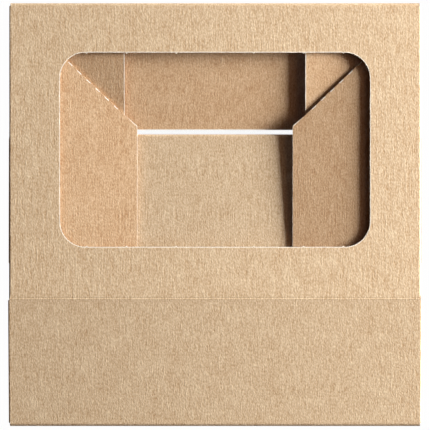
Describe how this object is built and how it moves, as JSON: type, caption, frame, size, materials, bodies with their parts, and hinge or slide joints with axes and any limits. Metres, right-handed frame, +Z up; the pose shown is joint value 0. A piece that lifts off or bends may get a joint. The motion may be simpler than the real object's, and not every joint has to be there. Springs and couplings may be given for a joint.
{
  "type": "window bakery box",
  "caption": "Kraft board pop-up bakery box with a hinged window lid, glued at its corners and folded flat, sprung slightly open.",
  "frame": {"origin": "under the middle of the folded box, on the surface that it lies on", "axes": "+X along the lid's front fold, +Y from the back fold of the tray to the lid's front fold, +Z up out of the lid's outer face"},
  "size_m": [0.2032, 0.208, 0.0086],
  "materials": {
    "kraft_board": "uncoated brown kraft paperboard, matte, with fine upright fibres",
    "clear_film": "clear glossy window film"
  },
  "bodies": {
    "tray": {"tray": "kraft_board"},
    "lid": {"lid": "kraft_board", "window_film": "clear_film"}
  },
  "joints": [
    {"name": "lid_hinge", "type": "hinge", "parent": "tray", "child": "lid", "pos_m": [0, -0.04045, 0.0086], "axis": [1, 0, 0], "range_deg": [0, 175]}
  ]
}
